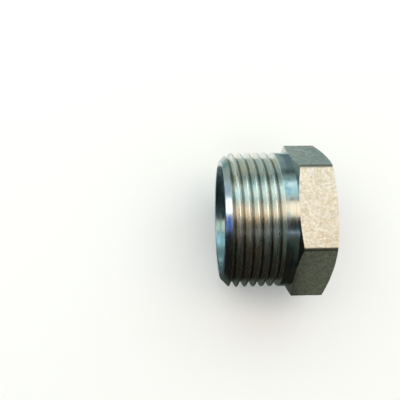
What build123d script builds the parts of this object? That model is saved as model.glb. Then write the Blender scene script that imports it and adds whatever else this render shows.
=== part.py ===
# Pressure gauge adapter: one turned steel piece and the rubber ring that seals the gauge.
# The piece lies on its side with its axis along X and rests on one flat of its hexagon.
# The thread and the tube socket point to -X, the gauge port points to +X, and +Z is up.
# The origin is under the middle of the piece, in the plane that it rests on. Millimetres.

import os
from math import atan2, ceil, cos, degrees, radians, tan

from build123d import *

os.makedirs("parts", exist_ok=True)

# Outer thread, M24 x 1.5, right-handed: its full turns, and the run-out where the groove ends
thread_diameter = 24.0
thread_pitch = 1.5
thread_depth = 0.92
thread_crest_flat = 0.19
thread_flank_angle = 30.0
thread_length = 9.4
thread_run_out = 0.5
thread_end_angle = 283.0

# Neck that carries the thread: its length up to the hexagon and its chamfered free end
neck_length = 11.85
lip_diameter = 21.4
lead_in_angle = 45.0

# Hexagon, chamfered at both ends
hex_across_flats = 24.0
hex_length = 6.3
hex_corner_radius = 0.5
hex_chamfer_diameter = 24.2
hex_chamfer_angle = 15.0

# Raised boss on the hexagon's end face
boss_diameter = 14.2
boss_height = 0.4
boss_edge = 0.15

# Tube socket: a 24 degree cone that leads to a straight bore with a stop
mouth_diameter = 18.3
cone_half_angle = 12.0
tube_bore = 16.1
tube_stop_depth = 8.5

# Passage behind the tube stop, which ends in the cone that its drill leaves
passage_diameter = 12.0
passage_length = 2.4
drill_half_angle = 59.0

# Gauge port and the ring that seals it
gauge_bore = 4.9
seal_section = 2.0
seal_inner_diameter = 6.5
seal_clearance = 0.05
seal_stand_out = 0.1

# Tools that cut the piece start outside it by this much
overrun = 1.0

# Places along the axis, worked out from the sizes above
overall_length = neck_length + hex_length + boss_height + seal_stand_out
free_end = -overall_length / 2
hex_start = free_end + neck_length
hex_end = hex_start + hex_length
boss_end = hex_end + boss_height
passage_start = free_end + tube_stop_depth
passage_end = passage_start + passage_length
seat_floor = boss_end + seal_stand_out - seal_section - seal_clearance
axis_height = hex_across_flats / 2

# The thread's cutter: its tip's radius, and its height up to half the crest
groove_root = thread_diameter / 2 - thread_depth
groove_rise = thread_depth + thread_crest_flat / 2


def turned(outline):
    # A solid of revolution about the X axis, from half its outline as (x, radius) points
    return revolve(make_face(Polyline(*outline, close=True)), axis=Axis.X)


def groove_profile():
    # The cross-section of the V groove between the turns, where the groove starts
    half_mouth = (thread_pitch - thread_crest_flat) / 2
    spread = tan(radians(thread_flank_angle))
    half_root = half_mouth - thread_depth * spread
    half_top = half_root + groove_rise * spread
    return make_face(Polyline(
        (groove_root, 0, -half_root),
        (groove_root, 0, half_root),
        (groove_root + groove_rise, 0, half_top),
        (groove_root + groove_rise, 0, -half_top),
        close=True,
    ))


def groove_turn():
    # One turn of the groove, upright, that climbs by the pitch
    path = Helix(thread_pitch, thread_pitch, groove_root)
    return sweep(groove_profile(), path=path, is_frenet=True)


def groove_run_out():
    # The last part turn, in which the cutter backs out of the neck at the same pitch
    slope = atan2(groove_rise, thread_run_out)
    path = Helix(thread_pitch / cos(slope), thread_run_out, groove_root, cone_angle=degrees(slope))
    return sweep(groove_profile(), path=path, is_frenet=True)


def lead_in():
    # What the cone on the free end leaves of the neck, upright and wider than the neck
    lip = lip_diameter / 2
    reach = thread_diameter / 2 + overrun
    cone_end = (reach - lip) / tan(radians(lead_in_angle))
    top = neck_length + 2 * overrun
    outline = make_face(Polyline(
        (0, 0, 0),
        (lip, 0, 0),
        (reach, 0, cone_end),
        (reach, 0, top),
        (0, 0, top),
        close=True,
    ))
    return revolve(outline, axis=Axis.Z)


def neck():
    # The threaded neck, made upright on its free end and cut turn by turn, then laid down
    on_end = (Align.CENTER, Align.CENTER, Align.MIN)
    upright = Cylinder(thread_diameter / 2, neck_length + overrun, align=on_end)
    cutter = groove_turn()
    for turn in range(ceil(thread_length / thread_pitch) + 1):
        upright -= Pos(0, 0, thread_length - (turn + 1) * thread_pitch) * cutter
    upright -= Pos(0, 0, thread_length) * groove_run_out()
    along_axis = Rotation(0, 90, 0) * Rotation(0, 0, thread_end_angle)
    return Pos(free_end, 0, 0) * along_axis * (upright & lead_in())


def hexagon():
    # The hexagon with one flat down, its long edges eased and both ends chamfered
    section = RegularPolygon(axis_height, 6, major_radius=False, rotation=90)
    prism = extrude(section, hex_length)
    prism = fillet(prism.edges().filter_by(Axis.Z), hex_corner_radius)
    prism = Pos(hex_start, 0, 0) * Rotation(0, 90, 0) * prism
    start = hex_chamfer_diameter / 2
    reach = hex_across_flats
    slope = (reach - start) * tan(radians(hex_chamfer_angle))
    chamfers = turned([
        (hex_start, 0),
        (hex_start, start),
        (hex_start + slope, reach),
        (hex_end - slope, reach),
        (hex_end, start),
        (hex_end, 0),
    ])
    return prism & chamfers


def boss():
    # The low round boss that the gauge seats on, with a small broken edge
    radius = boss_diameter / 2
    return turned([
        (hex_end - overrun, 0),
        (hex_end - overrun, radius),
        (boss_end - boss_edge, radius),
        (boss_end, radius - boss_edge),
        (boss_end, 0),
    ])


def tube_socket():
    # What the cone, the tube bore, its stop and the drilled passage leave open
    mouth = mouth_diameter / 2
    bore = tube_bore / 2
    passage = passage_diameter / 2
    flare = tan(radians(cone_half_angle))
    cone_end = free_end + (mouth - bore) / flare
    drill_tip = passage_end + passage / tan(radians(drill_half_angle))
    return turned([
        (free_end - overrun, 0),
        (free_end - overrun, mouth + overrun * flare),
        (cone_end, bore),
        (passage_start, bore),
        (passage_start, passage),
        (passage_end, passage),
        (drill_tip, 0),
    ])


def gauge_port():
    # The bore that leads to the gauge, and the seat that holds the sealing ring
    bore = gauge_bore / 2
    seat = seal_inner_diameter / 2 + seal_section + seal_clearance
    return turned([
        (passage_end, 0),
        (passage_end, bore),
        (seat_floor, bore),
        (seat_floor, seat),
        (boss_end + overrun, seat),
        (boss_end + overrun, 0),
    ])


def adapter_body():
    # The whole turned piece, from its outside to its bores
    outside = neck() + hexagon() + boss()
    return outside - tube_socket() - gauge_port()


def gauge_seal_ring():
    # The round rubber ring, just clear of its seat and a little proud of the boss
    section = seal_section / 2
    middle = seat_floor + seal_clearance + section
    ring = Torus(seal_inner_diameter / 2 + section, section)
    return Pos(middle, 0, 0) * Rotation(0, 90, 0) * ring


nodes = {
    "adapter_body": adapter_body(),
    "gauge_seal_ring": gauge_seal_ring(),
}

for name, solid in nodes.items():
    export_step(Pos(0, 0, axis_height) * solid, f"parts/{name}.step")
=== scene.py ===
from math import ceil, cos, hypot, pi, radians, sin, tan

import bpy
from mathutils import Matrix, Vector


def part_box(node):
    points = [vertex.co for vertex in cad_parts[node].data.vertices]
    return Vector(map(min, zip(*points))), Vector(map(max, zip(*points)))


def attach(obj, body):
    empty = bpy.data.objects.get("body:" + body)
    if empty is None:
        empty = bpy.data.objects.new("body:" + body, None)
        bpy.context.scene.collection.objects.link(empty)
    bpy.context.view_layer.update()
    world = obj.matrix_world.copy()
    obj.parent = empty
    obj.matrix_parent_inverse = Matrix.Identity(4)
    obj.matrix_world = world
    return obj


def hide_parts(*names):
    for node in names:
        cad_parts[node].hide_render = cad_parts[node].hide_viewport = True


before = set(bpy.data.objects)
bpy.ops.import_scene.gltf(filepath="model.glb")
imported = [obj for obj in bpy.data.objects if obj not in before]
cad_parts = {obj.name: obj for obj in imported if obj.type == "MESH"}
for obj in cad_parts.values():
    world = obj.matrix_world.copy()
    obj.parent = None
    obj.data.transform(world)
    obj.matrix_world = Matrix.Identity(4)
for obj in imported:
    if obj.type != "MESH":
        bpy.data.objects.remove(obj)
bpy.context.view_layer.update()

# Lengths below are in millimetres, and mm turns them to metres where Blender needs them
mm = 0.001
mergeDistance = 0.0005
ridingBody = "root"


def boxOf(node):
    # A CAD node's lowest and highest corners in millimetres
    low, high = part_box(node)
    return Vector(low) / mm, Vector(high) / mm


bodyLow, bodyHigh = boxOf("adapter_body")
ringLow, ringHigh = boxOf("gauge_seal_ring")
axisHeight = (bodyLow.z + bodyHigh.z) / 2
axisPoint = Vector((0, 0, axisHeight)) * mm
freeEnd = bodyLow.x
bossEnd = bodyHigh.x


def hexToLinear(colour):
    # sRGB hex to the linear values that the shaders use
    parts = [int(colour[i:i + 2], 16) / 255 for i in (1, 3, 5)]
    return [c / 12.92 if c <= 0.04045 else ((c + 0.055) / 1.055) ** 2.4 for c in parts] + [1.0]


def addNode(tree, kind, settings, links=None):
    # Adds a node, sets its options and input values, and joins its inputs to other sockets
    node = tree.nodes.new(kind)
    for name, value in settings.items():
        if isinstance(name, str) and hasattr(node, name):
            setattr(node, name, value)
        else:
            node.inputs[name].default_value = value
    for name, socket in (links or {}).items():
        tree.links.new(socket, node.inputs[name])
    return node


# Camera: close above the part, leaning over its threaded end
cameraView = {
    "place": (-18.81, -15.81, 112.44),
    "yaw": -3.41,
    "pitch": 10.95,
    "roll": -1.24,
    "lens": 50.85,
    "sensor": 36,
    "nearClip": 5,
    "farClip": 5000,
}


def makeCamera():
    data = bpy.data.cameras.new("photoCamera")
    data.lens = cameraView["lens"]
    data.sensor_width = cameraView["sensor"]
    data.clip_start = cameraView["nearClip"] * mm
    data.clip_end = cameraView["farClip"] * mm
    camera = bpy.data.objects.new("photoCamera", data)
    bpy.context.scene.collection.objects.link(camera)
    yaw, pitch, roll = (radians(cameraView[turn]) for turn in ("yaw", "pitch", "roll"))
    camera.rotation_mode = "ZXY"
    camera.rotation_euler = (pitch, yaw, roll)
    camera.location = Vector(cameraView["place"]) * mm
    bpy.context.scene.camera = camera
    print("camera placed")


# Body: the same sizes as the CAD, with the small rounds that a finished piece has. The sizes from
# toolOverrun on are those of the forms that cut, trim or overlap it
bodyPiece = {
    "segments": 360,
    "neckLength": 11.85,
    "lipDiameter": 21.4,
    "lipRound": 0.12,
    "leadInAngle": 45,
    "hexAcrossFlats": 24.0,
    "hexLength": 6.3,
    "hexCornerRadius": 0.5,
    "hexChamferDiameter": 24.2,
    "hexChamferAngle": 15,
    "bossDiameter": 14.2,
    "bossHeight": 0.4,
    "bossRound": 0.15,
    "mouthDiameter": 18.3,
    "mouthRound": 0.1,
    "coneHalfAngle": 12,
    "tubeBore": 16.1,
    "tubeStopDepth": 8.5,
    "passageDiameter": 12.0,
    "passageLength": 2.4,
    "drillHalfAngle": 59,
    "gaugeBore": 4.9,
    "sealSeatDiameter": 10.6,
    "sealSeatDepth": 1.95,
    "edgeBreak": 0.1,
    "smoothAngle": 14,
    "cornerSteps": 6,
    "toolOverrun": 0.5,
    "overlap": 1.0,
    "drillTip": 0.02,
    "trimOverrun": 0.4,
    "trimWidth": 3.0,
}

# Thread: the groove between its turns, with a rounded root and softened crests
thread = {
    "diameter": 24.0,
    "pitch": 1.5,
    "depth": 0.92,
    "crestFlat": 0.19,
    "crestRound": 0.08,
    "rootRound": 0.1,
    "flankAngle": 30,
    "length": 9.4,
    "runOut": 0.5,
    "endAngle": 283,
    "stepsPerTurn": 180,
    "roundSteps": 4,
    "cutterOverrun": 0.2,
    "nearby": 0.01,
}

hexStart = freeEnd + bodyPiece["neckLength"]
hexEnd = hexStart + bodyPiece["hexLength"]
hexHalfAngle = radians(30)


def pick(piece, kind, chosen):
    # Goes into edit mode with only those vertices, edges or faces selected that are chosen
    if bpy.context.mode != "OBJECT":
        bpy.ops.object.mode_set(mode="OBJECT")
    mesh = piece.data
    kinds = {"VERT": mesh.vertices, "EDGE": mesh.edges, "FACE": mesh.polygons}
    bpy.context.tool_settings.mesh_select_mode = [name == kind for name in kinds]
    for elements in kinds.values():
        for element in elements:
            element.select = False
    for element in kinds[kind]:
        element.select = bool(chosen(element))
    bpy.ops.object.mode_set(mode="EDIT")


def roundedStep(corner, radius, startAngle, endAngle, steps=5):
    # Points of a small arc about a centre, as (x, radius) pairs
    x, r = corner
    turns = [radians(startAngle + (endAngle - startAngle) * i / steps) for i in range(steps + 1)]
    return [(x + radius * cos(t), r + radius * sin(t)) for t in turns]


def turnedForm(name, outline):
    # A closed turned form about the axis, drawn out ring by ring along an outline of (x, radius)
    bpy.ops.object.select_all(action="DESELECT")
    x, radius = outline[0]
    bpy.ops.mesh.primitive_circle_add(
        vertices=bodyPiece["segments"], radius=radius * mm, fill_type="NGON",
        location=(x * mm, 0, axisHeight * mm), rotation=(0, radians(90), 0))
    form = bpy.context.object
    form.name = name
    bpy.ops.object.transform_apply(location=True, rotation=True, scale=True)
    bpy.ops.object.mode_set(mode="EDIT")
    bpy.ops.mesh.select_all(action="SELECT")
    for nextX, nextRadius in outline[1:]:
        bpy.ops.mesh.extrude_region_move(TRANSFORM_OT_translate={"value": ((nextX - x) * mm, 0, 0)})
        grow = nextRadius / radius
        bpy.ops.transform.resize(value=(1, grow, grow), center_override=axisPoint)
        x, radius = nextX, nextRadius
    bpy.ops.mesh.select_all(action="SELECT")
    bpy.ops.mesh.remove_doubles(threshold=mergeDistance * mm)
    bpy.ops.mesh.normals_make_consistent(inside=False)
    bpy.ops.object.mode_set(mode="OBJECT")
    return form


def combine(piece, tool, operation):
    # Joins, cuts or trims a piece with a tool, which is then removed
    bpy.ops.object.select_all(action="DESELECT")
    bpy.context.view_layer.objects.active = piece
    piece.select_set(True)
    modifier = piece.modifiers.new("cut", "BOOLEAN")
    modifier.operation = operation
    modifier.solver = "EXACT"
    modifier.object = tool
    bpy.ops.object.modifier_apply(modifier=modifier.name)
    bpy.data.objects.remove(tool, do_unlink=True)
    print(operation.lower(), piece.name, len(piece.data.polygons), "faces")


def neckBlank():
    # The neck before its thread is cut: rounded lip, lead-in cone and plain part
    lip = bodyPiece["lipDiameter"] / 2
    edge = bodyPiece["lipRound"]
    top = thread["diameter"] / 2
    slope = tan(radians(bodyPiece["leadInAngle"]))
    easing = edge * tan(radians(90 - bodyPiece["leadInAngle"]) / 2)
    past = bodyPiece["toolOverrun"]
    outline = [(freeEnd, lip - bodyPiece["overlap"])]
    outline += roundedStep((freeEnd + edge, lip - easing), edge, 180, 90 + bodyPiece["leadInAngle"])
    outline += [(freeEnd + (top - lip) / slope, top)]
    outline += [(hexStart, top), (hexStart + past, top - past)]
    return turnedForm("neckBlank", outline)


def grooveCutter():
    # The V groove as a solid coil: one cross-section drawn round the axis by a screw modifier
    top = thread["diameter"] / 2
    root = top - thread["depth"]
    spread = tan(radians(thread["flankAngle"]))
    halfMouth = (thread["pitch"] - thread["crestFlat"]) / 2
    halfRoot = halfMouth - thread["depth"] * spread
    turns = ceil(thread["length"] / thread["pitch"]) + 1
    start = thread["length"] - turns * thread["pitch"]
    near = thread["nearby"]
    # The crest's round as (height, half width), from the flank to the flat
    crest = thread["crestRound"]
    centre = (top - crest, halfMouth + crest * spread)
    sweep = 90 - thread["flankAngle"]
    count = thread["roundSteps"]
    steps = [radians(thread["flankAngle"] + sweep * i / count) for i in range(count + 1)]
    outline = [(centre[0] + crest * sin(step), centre[1] - crest * cos(step)) for step in steps]
    outline += [(top + thread["cutterOverrun"], centre[1])]
    bpy.ops.object.select_all(action="DESELECT")
    bpy.ops.mesh.primitive_plane_add(size=2 * halfRoot * mm, rotation=(radians(90), 0, 0))
    cutter = bpy.context.object
    cutter.name = "grooveCutter"
    bpy.ops.object.transform_apply(location=True, rotation=True, scale=True)
    # The plane's lower edge goes to the root, and its upper edge up the flanks and over the crest
    for side in (1, -1):
        pick(cutter, "VERT", lambda vertex: vertex.co.z * side > 0)
        height = root if side < 0 else outline[0][0]
        bpy.ops.transform.translate(value=(0, 0, (height - side * halfRoot) * mm))
        if side > 0:
            grow = outline[0][1] / halfRoot
            bpy.ops.transform.resize(value=(grow, 1, 1), center_override=(0, 0, 0))
    pick(cutter, "VERT", lambda vertex: vertex.co.z < (root + near) * mm)
    bpy.ops.mesh.bevel(offset=thread["rootRound"] * mm, segments=count, affect="VERTICES")
    pick(cutter, "VERT", lambda vertex: vertex.co.z > (outline[0][0] - near) * mm)
    for (low, narrow), (high, wide) in zip(outline, outline[1:]):
        up = (0, 0, (high - low) * mm)
        bpy.ops.mesh.extrude_region_move(TRANSFORM_OT_translate={"value": up})
        bpy.ops.transform.resize(value=(wide / narrow, 1, 1), center_override=(0, 0, 0))
    bpy.ops.mesh.select_all(action="SELECT")
    bpy.ops.mesh.dissolve_faces()
    bpy.ops.mesh.select_all(action="SELECT")
    bpy.ops.mesh.delete(type="ONLY_FACE")
    bpy.ops.object.mode_set(mode="OBJECT")
    screw = cutter.modifiers.new("coil", "SCREW")
    screw.axis = "X"
    screw.angle = 2 * pi
    screw.screw_offset = thread["pitch"] * mm
    screw.iterations = turns
    screw.steps = screw.render_steps = thread["stepsPerTurn"]
    bpy.ops.object.modifier_apply(modifier=screw.name)
    runOut(cutter)
    bpy.ops.mesh.select_all(action="SELECT")
    bpy.ops.mesh.fill_holes(sides=0)
    bpy.ops.mesh.select_all(action="SELECT")
    bpy.ops.mesh.normals_make_consistent(inside=False)
    bpy.ops.object.mode_set(mode="OBJECT")
    cutter.rotation_euler.x = radians(thread["endAngle"] - 180)
    cutter.location = Vector((freeEnd + start, 0, axisHeight)) * mm
    bpy.ops.object.transform_apply(location=True, rotation=True, scale=True)
    print("groove cutter coiled,", turns, "turns")
    return cutter


def runOut(cutter):
    # Draws the coil's last ring out of the neck over a part turn, step by step, in edit mode
    steps = round(thread["stepsPerTurn"] * thread["runOut"] / thread["pitch"])
    turn = 2 * pi / thread["stepsPerTurn"]
    rise = (thread["depth"] + thread["crestFlat"] / 2) / steps
    near = thread["nearby"] * mm
    lastRing = max(vertex.co.x for vertex in cutter.data.vertices) - thread["pitch"] * mm + near

    def atEnd(vertex):
        return vertex.co.x > lastRing and vertex.co.z > 0 and abs(vertex.co.y) < near / 10

    pick(cutter, "VERT", atEnd)
    for step in range(steps):
        angle = turn * step
        out = Vector((thread["runOut"] / steps, -rise * sin(angle), rise * cos(angle))) * mm
        bpy.ops.mesh.extrude_region_move(TRANSFORM_OT_translate={"value": out})
        bpy.ops.transform.rotate(value=-turn, orient_axis="X", center_override=(0, 0, 0))


def hexagonBar():
    # A length of hexagon bar with its six long edges rounded, then chamfered at both ends
    corner = bodyPiece["hexAcrossFlats"] / 2 / cos(hexHalfAngle)
    bpy.ops.object.select_all(action="DESELECT")
    bpy.ops.mesh.primitive_cylinder_add(
        vertices=6, radius=corner * mm, depth=bodyPiece["hexLength"] * mm,
        location=((hexStart + hexEnd) / 2 * mm, 0, axisHeight * mm), rotation=(0, radians(90), 0))
    bar = bpy.context.object
    bar.name = "hexagonBar"
    bpy.ops.object.transform_apply(location=True, rotation=True, scale=True)

    def longEdge(edge):
        first, second = (bar.data.vertices[i].co.x for i in edge.vertices)
        return abs(first - second) > bodyPiece["hexLength"] / 2 * mm

    pick(bar, "EDGE", longEdge)
    easing = bodyPiece["hexCornerRadius"] * tan(hexHalfAngle)
    bpy.ops.mesh.bevel(offset=easing * mm, segments=bodyPiece["cornerSteps"], affect="EDGES")
    bpy.ops.object.mode_set(mode="OBJECT")
    start = bodyPiece["hexChamferDiameter"] / 2
    slope = tan(radians(bodyPiece["hexChamferAngle"]))
    past = bodyPiece["trimOverrun"]
    width = bodyPiece["trimWidth"]
    trim = turnedForm("hexagonTrim", [
        (hexStart - past, start - past / slope),
        (hexStart + width * slope, start + width),
        (hexEnd - width * slope, start + width),
        (hexEnd + past, start - past / slope),
    ])
    combine(bar, trim, "INTERSECT")
    return bar


def boss():
    # The low round boss on the hexagon's end, with a rounded edge
    radius = bodyPiece["bossDiameter"] / 2
    edge = bodyPiece["bossRound"]
    outline = [(hexEnd - bodyPiece["overlap"], radius)]
    outline += roundedStep((bossEnd - edge, radius - edge), edge, 90, 0)
    return turnedForm("boss", outline)


def socketTool():
    # What the cone, the tube bore, its stop and the drilled passage leave open
    mouth = bodyPiece["mouthDiameter"] / 2
    bore = bodyPiece["tubeBore"] / 2
    passage = bodyPiece["passageDiameter"] / 2
    flare = tan(radians(bodyPiece["coneHalfAngle"]))
    stop = freeEnd + bodyPiece["tubeStopDepth"]
    end = stop + bodyPiece["passageLength"]
    edge = bodyPiece["mouthRound"]
    past = bodyPiece["toolOverrun"]
    tip = bodyPiece["drillTip"]
    return turnedForm("socketTool", [
        (freeEnd - past, mouth + edge + past),
        (freeEnd + edge, mouth - edge * flare),
        (freeEnd + (mouth - bore) / flare, bore),
        (stop, bore),
        (stop, passage + edge),
        (stop + edge, passage),
        (end, passage),
        (end + (passage - tip) / tan(radians(bodyPiece["drillHalfAngle"])), tip),
    ])


def portTool():
    # The gauge bore with its broken edge, and the seat of the sealing ring
    bore = bodyPiece["gaugeBore"] / 2
    seat = bodyPiece["sealSeatDiameter"] / 2
    floor = bossEnd - bodyPiece["sealSeatDepth"]
    edge = bodyPiece["edgeBreak"]
    past = bodyPiece["toolOverrun"]
    start = freeEnd + bodyPiece["tubeStopDepth"] + bodyPiece["passageLength"]
    return turnedForm("portTool", [
        (start, bore),
        (floor - 2 * edge, bore),
        (floor, bore + 2 * edge),
        (floor, seat),
        (bossEnd - edge, seat),
        (bossEnd + past, seat + edge + past),
    ])


# Where each finish is: its radius and place, and how far its faces may lean along or off the axis
zoneLimits = {
    "boreRadius": 9.3,
    "boreInwards": -0.5,
    "boreDepth": 0.5,
    "flatRadius": 11.5,
    "flatStart": 0.1,
    "flatLean": 0.2,
    "faceDepth": 1,
    "faceLean": 0.9,
    "threadRadius": 10.9,
    "threadPast": 0.4,
    "lipLean": -0.6,
    "lipDepth": 1.6,
}


def finishZones(body, finishes):
    # Each face gets the finish of its zone, by where it is and which way it faces
    body.data.materials.clear()
    for finish in finishes:
        body.data.materials.append(finish)
    turned, threaded, drawn, faced, bored = range(5)
    limit = zoneLimits
    threadEnd = freeEnd + thread["length"] + limit["threadPast"]
    for face in body.data.polygons:
        x = face.center.x / mm
        y, z = face.center.y / mm, face.center.z / mm - axisHeight
        radius = hypot(y, z)
        outwards = face.normal.y * y + face.normal.z * z
        along = face.normal.x
        inBore = outwards < limit["boreInwards"] or x < bossEnd - limit["boreDepth"]
        onLip = along < limit["lipLean"] and x < freeEnd + limit["lipDepth"]
        onFlat = radius > limit["flatRadius"] and abs(along) < limit["flatLean"]
        if radius < limit["boreRadius"] and inBore:
            face.material_index = bored
        elif x > hexStart + limit["flatStart"] and onFlat:
            face.material_index = drawn
        elif x > hexEnd - limit["faceDepth"] and along > limit["faceLean"]:
            face.material_index = faced
        elif x < threadEnd and radius > limit["threadRadius"] and not onLip:
            face.material_index = threaded
        else:
            face.material_index = turned


def adapterBody(finishes):
    # The neck is threaded, the hexagon and the boss are joined to it, and the bores are cut
    body = neckBlank()
    combine(body, grooveCutter(), "DIFFERENCE")
    combine(body, hexagonBar(), "UNION")
    combine(body, boss(), "UNION")
    combine(body, socketTool(), "DIFFERENCE")
    combine(body, portTool(), "DIFFERENCE")
    body.name = "turnedBody"
    body.data.name = "turnedBody"
    # The cuts leave a few points on top of each other, which are merged so that the skin is closed
    bpy.ops.object.mode_set(mode="EDIT")
    bpy.ops.mesh.select_all(action="SELECT")
    bpy.ops.mesh.remove_doubles(threshold=mergeDistance * mm)
    bpy.ops.mesh.dissolve_degenerate(threshold=mergeDistance * mm)
    bpy.ops.mesh.select_all(action="SELECT")
    bpy.ops.mesh.delete_loose()
    bpy.ops.object.mode_set(mode="OBJECT")
    bpy.ops.object.shade_smooth_by_angle(angle=radians(bodyPiece["smoothAngle"]))
    weighted = body.modifiers.new("evenShading", "WEIGHTED_NORMAL")
    weighted.keep_sharp = True
    bpy.ops.object.modifier_apply(modifier=weighted.name)
    finishZones(body, finishes)
    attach(body, ridingBody)
    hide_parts("adapter_body")
    print("body made,", len(body.data.polygons), "faces")


# Sealing ring: moulded, with the thin line that the two halves of its mould leave
sealRing = {
    "middleDiameter": 8.5,
    "flashWidth": 0.05,
    "flashHeight": 0.02,
    "roundSegments": 160,
    "sectionSegments": 48,
    "flashSteps": 2,
    "nearby": 0.001,
}


def sealingRing(finish):
    # A plain ring, whose inner and outer lines are widened a little and drawn out to a thin ridge
    section = (ringHigh.x - ringLow.x) / 2
    middle = sealRing["middleDiameter"] / 2
    place = (ringLow.x + ringHigh.x) / 2
    bpy.ops.object.select_all(action="DESELECT")
    bpy.ops.mesh.primitive_torus_add(
        location=(place * mm, 0, axisHeight * mm), rotation=(0, radians(90), 0),
        major_segments=sealRing["roundSegments"], minor_segments=sealRing["sectionSegments"],
        major_radius=middle * mm, minor_radius=section * mm)
    ring = bpy.context.object
    ring.name = "sealingRing"
    bpy.ops.object.transform_apply(location=True, rotation=True, scale=True)
    near = sealRing["nearby"]

    def radiusOf(vertex):
        return hypot(vertex.co.y / mm, vertex.co.z / mm - axisHeight)

    for side in (1, -1):
        reach = middle + side * section
        pick(ring, "VERT", lambda vertex: abs(radiusOf(vertex) - reach) < near)
        bpy.ops.mesh.select_mode(type="EDGE")
        bpy.ops.mesh.bevel(
            offset=sealRing["flashWidth"] * mm, segments=sealRing["flashSteps"], affect="EDGES")
        pick(ring, "VERT", lambda vertex: (
            abs(vertex.co.x / mm - place) < near and (radiusOf(vertex) - middle) * side > 0))
        grow = (reach + side * sealRing["flashHeight"]) / reach
        bpy.ops.transform.resize(value=(1, grow, grow), center_override=axisPoint)
    bpy.ops.object.mode_set(mode="OBJECT")
    bpy.ops.object.shade_smooth()
    ring.data.materials.append(finish)
    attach(ring, ridingBody)
    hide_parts("gauge_seal_ring")
    print("ring made,", len(ring.data.polygons), "faces")


def newMaterial(name):
    material = bpy.data.materials.new(name)
    material.use_nodes = True
    return material, material.node_tree, material.node_tree.nodes["Principled BSDF"]


def partPoints(tree):
    # Places on the part in millimetres, measured from its axis, and their distance from it
    coordinates = addNode(tree, "ShaderNodeTexCoord", {})
    point = addNode(
        tree, "ShaderNodeMapping",
        {"Location": (0, 0, -axisHeight), "Scale": (1 / mm, 1 / mm, 1 / mm)},
        {"Vector": coordinates.outputs["Object"]})
    across = addNode(
        tree, "ShaderNodeVectorMath", {"operation": "MULTIPLY", 1: (0, 1, 1)},
        {0: point.outputs["Vector"]})
    radius = addNode(
        tree, "ShaderNodeVectorMath", {"operation": "LENGTH"}, {0: across.outputs["Vector"]})
    return point.outputs["Vector"], radius.outputs["Value"]


def roundPoints(tree, point, radius, stretch):
    # Places for marks that run round the axis, on turned sides as well as on flanks and end faces
    along = addNode(
        tree, "ShaderNodeVectorMath", {"operation": "MULTIPLY", 1: (1, stretch, stretch)},
        {0: point})
    marked = addNode(
        tree, "ShaderNodeVectorMath", {"operation": "ADD"}, {0: along.outputs["Vector"], 1: radius})
    return marked.outputs["Vector"]


def joinFinish(tree, shader, look, colour, wear, height):
    # Joins a finish to its shader: its colour, a roughness that follows its wear, and its relief
    start, end = look["wearRange"]
    low, high = look["roughness"]
    roughness = addNode(
        tree, "ShaderNodeMapRange",
        {"From Min": start, "From Max": end, "To Min": low, "To Max": high}, {"Value": wear})
    relief = addNode(
        tree, "ShaderNodeBump", {"Distance": look["relief"] * mm}, {"Height": height})
    shader.inputs["Metallic"].default_value = look["metallic"]
    tree.links.new(colour, shader.inputs["Base Color"])
    tree.links.new(roughness.outputs["Result"], shader.inputs["Roughness"])
    tree.links.new(relief.outputs["Normal"], shader.inputs["Normal"])


# Turned surfaces: blue-passivated zinc plate over turning marks, which gives a bright mirror with
# soft cloudy tints and fine lines round the axis. The real feed is 0.1 mm, drawn at 0.35 mm to show
turnedFinish = {
    "plate": "#BEC6C5",
    "tealTint": "#82ABAE",
    "lilacTint": "#B9B6CC",
    "strawTint": "#CBBF9F",
    "cloudSize": 2.5,
    "otherPlace": (7, 3, 5),
    "otherScale": (1.6, 1.6, 1.6),
    "feed": 0.35,
    "stretch": 0.04,
    "relief": 0.0035,
    "wearRange": (0.3, 0.7),
    "roughness": (0.15, 0.27),
    "metallic": 1.0,
}


def turnedZinc():
    look = turnedFinish
    material, tree, shader = newMaterial("turnedZinc")
    point, radius = partPoints(tree)
    cloudy = {"Scale": 1 / look["cloudSize"], "Detail": 3, "Roughness": 0.55}
    clouds = addNode(tree, "ShaderNodeTexNoise", cloudy, {"Vector": point})
    shifted = addNode(
        tree, "ShaderNodeMapping", {"Location": look["otherPlace"], "Scale": look["otherScale"]},
        {"Vector": point})
    otherClouds = addNode(
        tree, "ShaderNodeTexNoise", cloudy, {"Vector": shifted.outputs["Vector"]})
    # One tint goes over the other: teal where the first clouds are, straw and lilac by the others
    tints = (
        ("tealTint", clouds, {"From Min": 0.48, "From Max": 0.72}),
        ("strawTint", otherClouds, {"From Min": 0.54, "From Max": 0.74, "To Max": 0.45}),
        ("lilacTint", otherClouds, {"From Min": 0.46, "From Max": 0.26, "To Max": 0.4}),
    )
    colour = None
    for tint, pattern, span in tints:
        part = addNode(tree, "ShaderNodeMapRange", span, {"Value": pattern.outputs["Fac"]})
        links = {0: part.outputs["Result"]}
        if colour:
            links[6] = colour
        mixed = addNode(
            tree, "ShaderNodeMix",
            {"data_type": "RGBA", 6: hexToLinear(look["plate"]), 7: hexToLinear(look[tint])}, links)
        colour = mixed.outputs[2]
    marks = addNode(
        tree, "ShaderNodeTexNoise", {"Scale": 1 / look["feed"], "Detail": 2, "Roughness": 0.6},
        {"Vector": roundPoints(tree, point, radius, look["stretch"])})
    joinFinish(tree, shader, look, colour, marks.outputs["Fac"], marks.outputs["Fac"])
    return material


# Thread: zinc plate over cut flanks, a little rougher than the turned parts and streaked round the
# axis by the cutter, so that each turn glows softly. Painted shade darkens the colour at the bottom
# of the groove. The streaks are drawn at 0.25 mm, coarser than the real ones
threadFinish = {
    "plate": "#EEEFEA",
    "paintedRootShade": "#7B796F",
    "warmTint": "#EEE7D6",
    # The dark colour painted as shade at the bottom of the groove
    "coolTint": "#D8E9E7",
    "cloudSize": 4.0,
    "paintedShadeReach": (0.1, 0.01),
    "streakWidth": 0.25,
    "stretch": 0.12,
    "relief": 0.004,
    "wearRange": (0.3, 0.7),
    "roughness": (0.22, 0.33),
    "metallic": 1.0,
}


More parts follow.
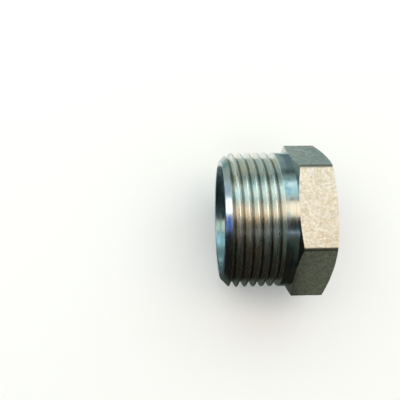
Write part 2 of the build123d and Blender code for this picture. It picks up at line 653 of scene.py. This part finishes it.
def threadZinc():
    look = threadFinish
    material, tree, shader = newMaterial("threadZinc")
    point, radius = partPoints(tree)
    clouds = addNode(
        tree, "ShaderNodeTexNoise", {"Scale": 1 / look["cloudSize"], "Detail": 3, "Roughness": 0.6},
        {"Vector": point})
    warmPart = addNode(
        tree, "ShaderNodeMapRange", {"From Min": 0.5, "From Max": 0.66},
        {"Value": clouds.outputs["Fac"]})
    coolPart = addNode(
        tree, "ShaderNodeMapRange", {"From Min": 0.5, "From Max": 0.36},
        {"Value": clouds.outputs["Fac"]})
    warm = addNode(
        tree, "ShaderNodeMix",
        {"data_type": "RGBA", 6: hexToLinear(look["plate"]), 7: hexToLinear(look["warmTint"])},
        {0: warmPart.outputs["Result"]})
    cool = addNode(
        tree, "ShaderNodeMix", {"data_type": "RGBA", 7: hexToLinear(look["coolTint"])},
        {0: coolPart.outputs["Result"], 6: warm.outputs[2]})
    # Painted shade: the colour darkens towards the root of the groove, where shade falls
    rootRadius = thread["diameter"] / 2 - thread["depth"]
    shadeStart, shadeFull = (rootRadius + reach for reach in look["paintedShadeReach"])
    paintedShadePart = addNode(
        tree, "ShaderNodeMapRange", {"From Min": shadeStart, "From Max": shadeFull},
        {"Value": radius})
    plate = addNode(
        tree, "ShaderNodeMix", {"data_type": "RGBA", 7: hexToLinear(look["paintedRootShade"])},
        {0: paintedShadePart.outputs["Result"], 6: cool.outputs[2]})
    streaks = addNode(
        tree, "ShaderNodeTexNoise",
        {"Scale": 1 / look["streakWidth"], "Detail": 2, "Roughness": 0.6},
        {"Vector": roundPoints(tree, point, radius, look["stretch"])})
    joinFinish(tree, shader, look, plate.outputs[2], streaks.outputs["Fac"], streaks.outputs["Fac"])
    return material


# Hexagon flats: zinc plate over the skin of drawn bar, which is never machined, so it stays matt,
# creamy and speckled, and darker towards the long rounded edges. The grain is 0.15 mm on the real
# bar, drawn at 0.42 mm to show
drawnFinish = {
    "light": "#FDFCF6",
    "dark": "#D0CBBB",
    "darkerEdge": "#8C877C",
    "edgeReach": (0.22, 0.12),
    "grain": 0.42,
    "clump": 0.9,
    "clumpWeight": 0.5,
    "relief": 0.0032,
    "wearRange": (0.35, 0.65),
    "roughness": (0.4, 0.54),
    "metallic": 1.0,
}


def drawnZinc():
    look = drawnFinish
    material, tree, shader = newMaterial("drawnZinc")
    point, radius = partPoints(tree)
    grain = addNode(
        tree, "ShaderNodeTexNoise", {"Scale": 1 / look["grain"], "Detail": 4, "Roughness": 0.7},
        {"Vector": point})
    clumps = addNode(
        tree, "ShaderNodeTexNoise", {"Scale": 1 / look["clump"], "Detail": 3, "Roughness": 0.65},
        {"Vector": point})
    both = addNode(
        tree, "ShaderNodeMath", {"operation": "MULTIPLY_ADD", 1: look["clumpWeight"]},
        {0: clumps.outputs["Fac"], 2: grain.outputs["Fac"]})
    lightPart = addNode(
        tree, "ShaderNodeMapRange", {"From Min": 0.61, "From Max": 0.89},
        {"Value": both.outputs["Value"]})
    speckled = addNode(
        tree, "ShaderNodeMix",
        {"data_type": "RGBA", 6: hexToLinear(look["dark"]), 7: hexToLinear(look["light"])},
        {0: lightPart.outputs["Result"]})
    # The colour darkens towards the long rounded edges
    cornerRadius = bodyPiece["hexAcrossFlats"] / 2 / cos(hexHalfAngle)
    edgeStart, edgeFull = (cornerRadius - reach for reach in look["edgeReach"])
    edgePart = addNode(
        tree, "ShaderNodeMapRange", {"From Min": edgeStart, "From Max": edgeFull},
        {"Value": radius})
    colour = addNode(
        tree, "ShaderNodeMix", {"data_type": "RGBA", 7: hexToLinear(look["darkerEdge"])},
        {0: edgePart.outputs["Result"], 6: speckled.outputs[2]})
    joinFinish(tree, shader, look, colour.outputs[2], clumps.outputs["Fac"], both.outputs["Value"])
    return material


# End face: zinc plate over a faced surface, matt and creamy with faint rings from the facing tool,
# brownish stains left by the plating bath and a few dark specks. The rings are drawn 0.3 mm apart
facedFinish = {
    "plate": "#E2D9C6",
    "stain": "#C6BAA2",
    "speck": "#5C5446",
    "ringWidth": 0.3,
    "stretch": 0.05,
    "stainSize": 2.6,
    "speckSize": 0.7,
    "relief": 0.006,
    "wearRange": (0.35, 0.65),
    "roughness": (0.32, 0.5),
    "metallic": 1.0,
}


def facedZinc():
    look = facedFinish
    material, tree, shader = newMaterial("facedZinc")
    point, radius = partPoints(tree)
    stains = addNode(
        tree, "ShaderNodeTexNoise",
        {"Scale": 1 / look["stainSize"], "Detail": 4, "Roughness": 0.65}, {"Vector": point})
    stainPart = addNode(
        tree, "ShaderNodeMapRange", {"From Min": 0.42, "From Max": 0.74},
        {"Value": stains.outputs["Fac"]})
    specks = addNode(
        tree, "ShaderNodeTexNoise", {"Scale": 1 / look["speckSize"], "Detail": 2, "Roughness": 0.5},
        {"Vector": point})
    speckPart = addNode(
        tree, "ShaderNodeMapRange", {"From Min": 0.71, "From Max": 0.78, "To Max": 0.8},
        {"Value": specks.outputs["Fac"]})
    rings = addNode(
        tree, "ShaderNodeTexNoise", {"Scale": 1 / look["ringWidth"], "Detail": 1},
        {"Vector": roundPoints(tree, point, radius, look["stretch"])})
    stained = addNode(
        tree, "ShaderNodeMix",
        {"data_type": "RGBA", 6: hexToLinear(look["plate"]), 7: hexToLinear(look["stain"])},
        {0: stainPart.outputs["Result"]})
    specked = addNode(
        tree, "ShaderNodeMix", {"data_type": "RGBA", 7: hexToLinear(look["speck"])},
        {0: speckPart.outputs["Result"], 6: stained.outputs[2]})
    joinFinish(tree, shader, look, specked.outputs[2], stains.outputs["Fac"], rings.outputs["Fac"])
    return material


# Bores: the bath hardly reaches into them, so the plate is thin there, teal grey and half dull,
# over the coarse rings that the drill and the boring tool leave. They are drawn 0.45 mm apart
boredFinish = {
    "plate": "#A9C8CD",
    "thin": "#7CA0A8",
    "ringWidth": 0.45,
    "stretch": 0.05,
    "cloudSize": 2.4,
    "relief": 0.008,
    "wearRange": (0.3, 0.7),
    "roughness": (0.22, 0.36),
    "metallic": 1.0,
}


def boredZinc():
    look = boredFinish
    material, tree, shader = newMaterial("boredZinc")
    point = partPoints(tree)[0]
    clouds = addNode(
        tree, "ShaderNodeTexNoise", {"Scale": 1 / look["cloudSize"], "Detail": 3, "Roughness": 0.6},
        {"Vector": point})
    thinPart = addNode(
        tree, "ShaderNodeMapRange", {"From Min": 0.36, "From Max": 0.7},
        {"Value": clouds.outputs["Fac"]})
    colour = addNode(
        tree, "ShaderNodeMix",
        {"data_type": "RGBA", 6: hexToLinear(look["plate"]), 7: hexToLinear(look["thin"])},
        {0: thinPart.outputs["Result"]})
    along = addNode(
        tree, "ShaderNodeVectorMath",
        {"operation": "MULTIPLY", 1: (1, look["stretch"], look["stretch"])}, {0: point})
    rings = addNode(
        tree, "ShaderNodeTexNoise", {"Scale": 1 / look["ringWidth"], "Detail": 2},
        {"Vector": along.outputs["Vector"]})
    joinFinish(tree, shader, look, colour.outputs[2], rings.outputs["Fac"], rings.outputs["Fac"])
    return material


# Ring: moulded nitrile rubber, which is near black with a soft sheen and a very fine mould grain,
# drawn at 0.12 mm, and faint greyish handling marks
rubberFinish = {
    "rubber": "#151517",
    "handled": "#26262A",
    "grain": 0.12,
    "markSize": 1.4,
    "relief": 0.004,
    "wearRange": (0.35, 0.65),
    "roughness": (0.34, 0.5),
    "metallic": 0.0,
}


def nitrileRubber():
    look = rubberFinish
    material, tree, shader = newMaterial("nitrileRubber")
    point = partPoints(tree)[0]
    grain = addNode(
        tree, "ShaderNodeTexNoise", {"Scale": 1 / look["grain"], "Detail": 2}, {"Vector": point})
    handling = addNode(
        tree, "ShaderNodeTexNoise", {"Scale": 1 / look["markSize"], "Detail": 3, "Roughness": 0.6},
        {"Vector": point})
    handledPart = addNode(
        tree, "ShaderNodeMapRange", {"From Min": 0.5, "From Max": 0.75},
        {"Value": handling.outputs["Fac"]})
    colour = addNode(
        tree, "ShaderNodeMix",
        {"data_type": "RGBA", 6: hexToLinear(look["rubber"]), 7: hexToLinear(look["handled"])},
        {0: handledPart.outputs["Result"]})
    joinFinish(
        tree, shader, look, colour.outputs[2], handling.outputs["Fac"], grain.outputs["Fac"])
    return material


def seenDirectly(tree):
    # 1 for what the camera, metal and glass see, and 0 for the light that falls on things
    path = addNode(tree, "ShaderNodeLightPath", {})
    seen = addNode(
        tree, "ShaderNodeMath", {"operation": "MAXIMUM"},
        {0: path.outputs["Is Camera Ray"], 1: path.outputs["Is Glossy Ray"]})
    anySeen = addNode(
        tree, "ShaderNodeMath", {"operation": "MAXIMUM"},
        {0: seen.outputs["Value"], 1: path.outputs["Is Transmission Ray"]})
    return anySeen.outputs["Value"]


# Lamps: side is 90 towards +Y and 180 towards the thread's end, elevation is above the bench, and
# glow is the brightness of the panel itself, where 1 is white
lamps = {
    "warmTopPanel": {
        "side": 90, "elevation": 83, "size": (420, 120), "glow": 1.85, "colour": "#FFE9CE"},
    "coolSidePanel": {
        "side": 90, "elevation": 49, "size": (520, 142), "glow": 1.25, "colour": "#D9F1F5"},
    "thinStrip": {
        "side": -90, "elevation": 59, "size": (400, 7), "glow": 2.2, "colour": "#E6F1FF"},
    "endPanel": {
        "side": 170, "elevation": 7, "size": (100, 56), "glow": 1.9, "colour": "#FAFCFF"},
}
lampDistance = 270
skyLight = {"ambient": "#EEF2F3", "strength": 0.8, "backdrop": "#FFFFFF"}


def makeLights():
    for name, lamp in lamps.items():
        data = bpy.data.lights.new(name, "AREA")
        data.shape = "RECTANGLE"
        data.size, data.size_y = (s * mm for s in lamp["size"])
        data.energy = lamp["glow"] * pi * data.size * data.size_y
        data.color = hexToLinear(lamp["colour"])[:3]
        panel = bpy.data.objects.new(name, data)
        side, elevation = radians(lamp["side"]), radians(lamp["elevation"])
        away = Vector((cos(side) * cos(elevation), sin(side) * cos(elevation), sin(elevation)))
        panel.rotation_euler = away.to_track_quat("Z", "Y").to_euler()
        panel.location = (away * lampDistance + Vector((0, 0, axisHeight))) * mm
        bpy.context.scene.collection.objects.link(panel)
    # The world lights the part softly, and the camera, metal and glass see it as a white backdrop
    world = bpy.data.worlds.new("studio")
    world.use_nodes = True
    tree = world.node_tree
    ambient = addNode(
        tree, "ShaderNodeBackground",
        {"Color": hexToLinear(skyLight["ambient"]), "Strength": skyLight["strength"]})
    backdrop = addNode(
        tree, "ShaderNodeBackground", {"Color": hexToLinear(skyLight["backdrop"]), "Strength": 1.0})
    mixed = addNode(
        tree, "ShaderNodeMixShader", {},
        {0: seenDirectly(tree), 1: ambient.outputs["Background"],
         2: backdrop.outputs["Background"]})
    tree.links.new(mixed.outputs["Shader"], tree.nodes["World Output"].inputs["Surface"])
    bpy.context.scene.world = world
    bpy.context.scene.view_settings.view_transform = "Standard"
    print("lights placed")


# Floor: matt white paper round the part, which runs out into the white backdrop far from it
floorSheet = {
    "colour": "#F6F6F5",
    "roughness": 0.9,
    "specular": 0.1,
    "width": 6000,
    "fadeStart": 120,
    "fadeEnd": 420,
}


def makeFloor():
    bpy.ops.object.select_all(action="DESELECT")
    bpy.ops.mesh.primitive_plane_add(size=floorSheet["width"] * mm)
    floor = bpy.context.object
    floor.name = "floor"
    material, tree, shader = newMaterial("mattPaper")
    shader.inputs["Base Color"].default_value = hexToLinear(floorSheet["colour"])
    shader.inputs["Roughness"].default_value = floorSheet["roughness"]
    shader.inputs["Specular IOR Level"].default_value = floorSheet["specular"]
    coordinates = addNode(tree, "ShaderNodeTexCoord", {})
    distance = addNode(
        tree, "ShaderNodeVectorMath", {"operation": "LENGTH"}, {0: coordinates.outputs["Object"]})
    farPart = addNode(
        tree, "ShaderNodeMapRange",
        {"interpolation_type": "SMOOTHSTEP", "From Min": floorSheet["fadeStart"] * mm,
         "From Max": floorSheet["fadeEnd"] * mm},
        {"Value": distance.outputs["Value"]})
    backdropPart = addNode(
        tree, "ShaderNodeMath", {"operation": "MULTIPLY"},
        {0: farPart.outputs["Result"], 1: seenDirectly(tree)})
    backdrop = addNode(
        tree, "ShaderNodeEmission", {"Color": hexToLinear(skyLight["backdrop"]), "Strength": 1.0})
    mixed = addNode(
        tree, "ShaderNodeMixShader", {},
        {0: backdropPart.outputs["Value"], 1: shader.outputs["BSDF"],
         2: backdrop.outputs["Emission"]})
    tree.links.new(mixed.outputs["Shader"], tree.nodes["Material Output"].inputs["Surface"])
    floor.data.materials.append(material)
    print("floor laid")


# Cards: glowing sheets round the part that only reflections see, mainly those in the bright metal,
# so each paints a reflection, dark or coloured. Each has a place, a width and height, its turns
# about X and Z, and its colour
paintedReflectionCards = {
    "nearCard": {
        "place": (-40, -18, 21.8), "size": (90, 43), "turn": (90, 0), "colour": "#211F1B"},
    "nearHexCard": {
        "place": (79.5, -18, 21.8), "size": (149, 43), "turn": (90, 0), "colour": "#565E53"},
    "farCard": {
        "place": (-15.5, 24, 12.3), "size": (40, 24), "turn": (90, 0), "colour": "#B0C1BC"},
    "farHexCard": {
        "place": (79.5, 24, 12.3), "size": (150, 24), "turn": (90, 0), "colour": "#6C868B"},
    "skirtCard": {
        "place": (0, 120, 50), "size": (400, 25), "turn": (90, 0), "colour": "#34413F"},
    "shoulderCard": {
        "place": (0, 140, 94), "size": (460, 48), "turn": (90, 0), "colour": "#8FB2B0"},
    "canopyCard": {
        "place": (0, 0, 330), "size": (1100, 700), "turn": (0, 0), "colour": "#3F525C"},
    "shadeCard": {
        "place": (0, -65, 200), "size": (400, 75), "turn": (0, 0), "colour": "#1D2020"},
    "underCard": {
        "place": (0, -15, 0.3), "size": (60, 12), "turn": (0, 0), "colour": "#50554C"},
    "mouthCard": {
        "place": (-31, -4, 0.3), "size": (42, 34), "turn": (0, 0), "colour": "#35484F"},
    "blueCard": {
        "place": (-199, -12, 30), "size": (54, 58), "turn": (90, 93), "colour": "#2F6AD0"},
    "paleCard": {
        "place": (-105, 58, 21), "size": (34, 40), "turn": (90, 61), "colour": "#B4D2EE"},
}


def makePaintedReflectionCards():
    for name, card in paintedReflectionCards.items():
        bpy.ops.object.select_all(action="DESELECT")
        bpy.ops.mesh.primitive_plane_add(size=1)
        plane = bpy.context.object
        plane.name = name
        width, height = card["size"]
        plane.scale = (width * mm, height * mm, 1)
        aboutX, aboutZ = card["turn"]
        plane.rotation_euler = (radians(aboutX), 0, radians(aboutZ))
        plane.location = Vector(card["place"]) * mm
        material, tree, shader = newMaterial(name)
        shader.inputs["Base Color"].default_value = (0, 0, 0, 1)
        shader.inputs["Specular IOR Level"].default_value = 0.0
        # Each card glows with its colour and is seen only in reflections: a painted reflection
        shader.inputs["Emission Color"].default_value = hexToLinear(card["colour"])
        shader.inputs["Emission Strength"].default_value = 1.0
        plane.data.materials.append(material)
        plane.visible_camera = False
        plane.visible_diffuse = False
        plane.visible_shadow = False
    print("cards placed")


makeCamera()
makeLights()
makeFloor()
makePaintedReflectionCards()
adapterBody([turnedZinc(), threadZinc(), drawnZinc(), facedZinc(), boredZinc()])
sealingRing(nitrileRubber())
